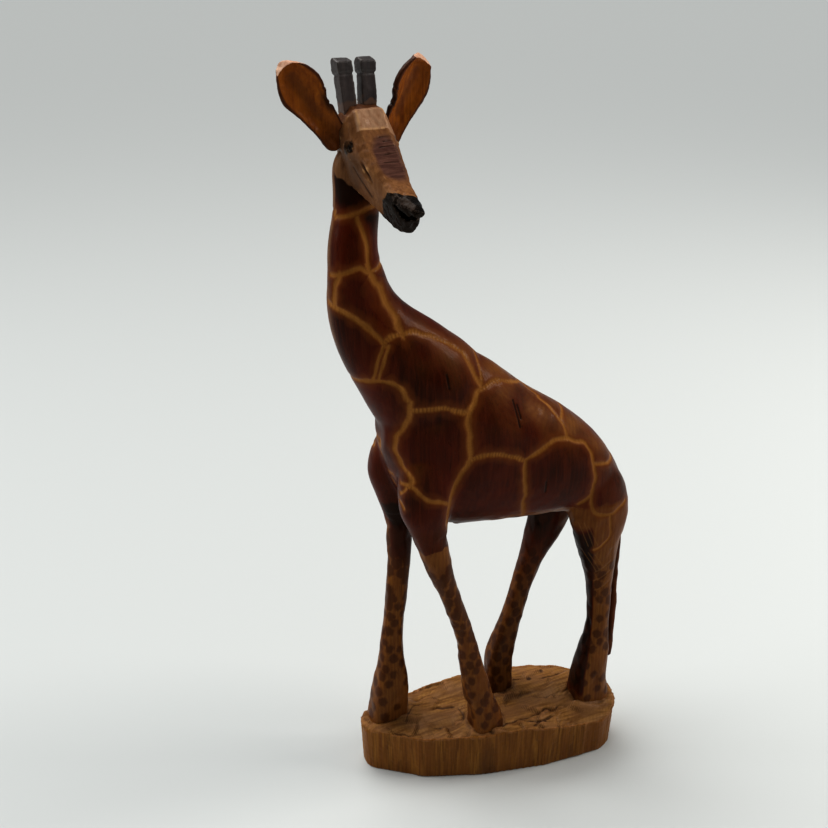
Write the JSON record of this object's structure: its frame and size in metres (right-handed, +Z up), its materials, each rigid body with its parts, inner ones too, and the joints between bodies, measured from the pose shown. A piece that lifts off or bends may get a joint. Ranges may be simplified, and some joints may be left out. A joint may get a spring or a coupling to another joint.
{
  "type": "carved giraffe statue",
  "caption": "Hand-carved wooden giraffe that stands on an oval base, its long neck upright and its head turned to its left side.",
  "frame": {"origin": "centre of the base's underside, below the middle of the giraffe's trunk", "axes": "+Z up; the giraffe stands along X with its chest towards -X and its rump towards +X; its left flank faces -Y"},
  "size_m": [0.1459, 0.056, 0.3058],
  "materials": {
    "base_wood": "varnished, knife-cut",
    "patterned_wood": "glossy varnish over stained patches",
    "face_wood": "varnished, knife-cut",
    "ear_wood": "satin varnish",
    "horn_wood": "burnt and varnished",
    "leg_wood": "glossy varnish over stained spots"
  },
  "bodies": {
    "root": {"base": "base_wood", "body": "patterned_wood", "neck": "patterned_wood", "head": "face_wood", "ear_left": "ear_wood", "ear_right": "ear_wood", "horn_left": "horn_wood", "horn_right": "horn_wood", "leg_front_left": "leg_wood", "leg_front_right": "leg_wood", "leg_hind_left": "leg_wood", "leg_hind_right": "leg_wood", "tail": "leg_wood"}
  },
  "joints": []
}
